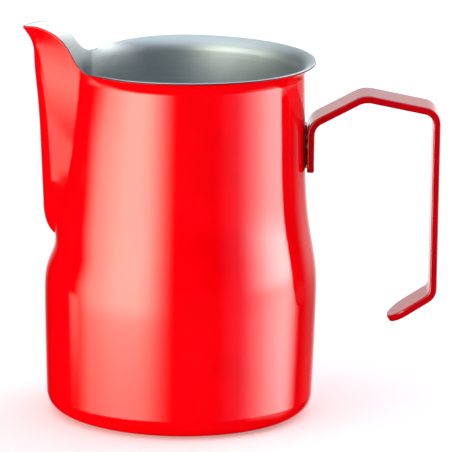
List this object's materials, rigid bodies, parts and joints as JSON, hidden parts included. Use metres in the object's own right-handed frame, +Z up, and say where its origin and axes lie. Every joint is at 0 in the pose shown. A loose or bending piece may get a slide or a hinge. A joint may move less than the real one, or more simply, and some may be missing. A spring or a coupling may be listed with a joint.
{
  "type": "milk frothing jug",
  "caption": "Round sheet-steel frothing jug with a swelling belly, straight neck, flared rim, tall pressed pouring spout and an open bent-strip handle.",
  "frame": {"origin": "centre of the foot, on the jug's axis", "axes": "+Z up along the jug's axis, +X towards the handle, -X towards the spout"},
  "size_m": [0.1284, 0.084, 0.1204],
  "materials": {
    "body_lacquer": "glossy red lacquer outside, bare brushed steel inside",
    "spout_lacquer": "glossy red lacquer outside, bare satin steel inside",
    "handle_lacquer": "glossy red lacquer all over",
    "weld_metal": "ground flush"
  },
  "bodies": {
    "root": {"jug_body": "body_lacquer", "pouring_spout": "spout_lacquer", "spout_seam_weld": "weld_metal", "handle_strip": "handle_lacquer", "handle_weld_upper": "weld_metal", "handle_weld_lower": "weld_metal"}
  },
  "joints": []
}
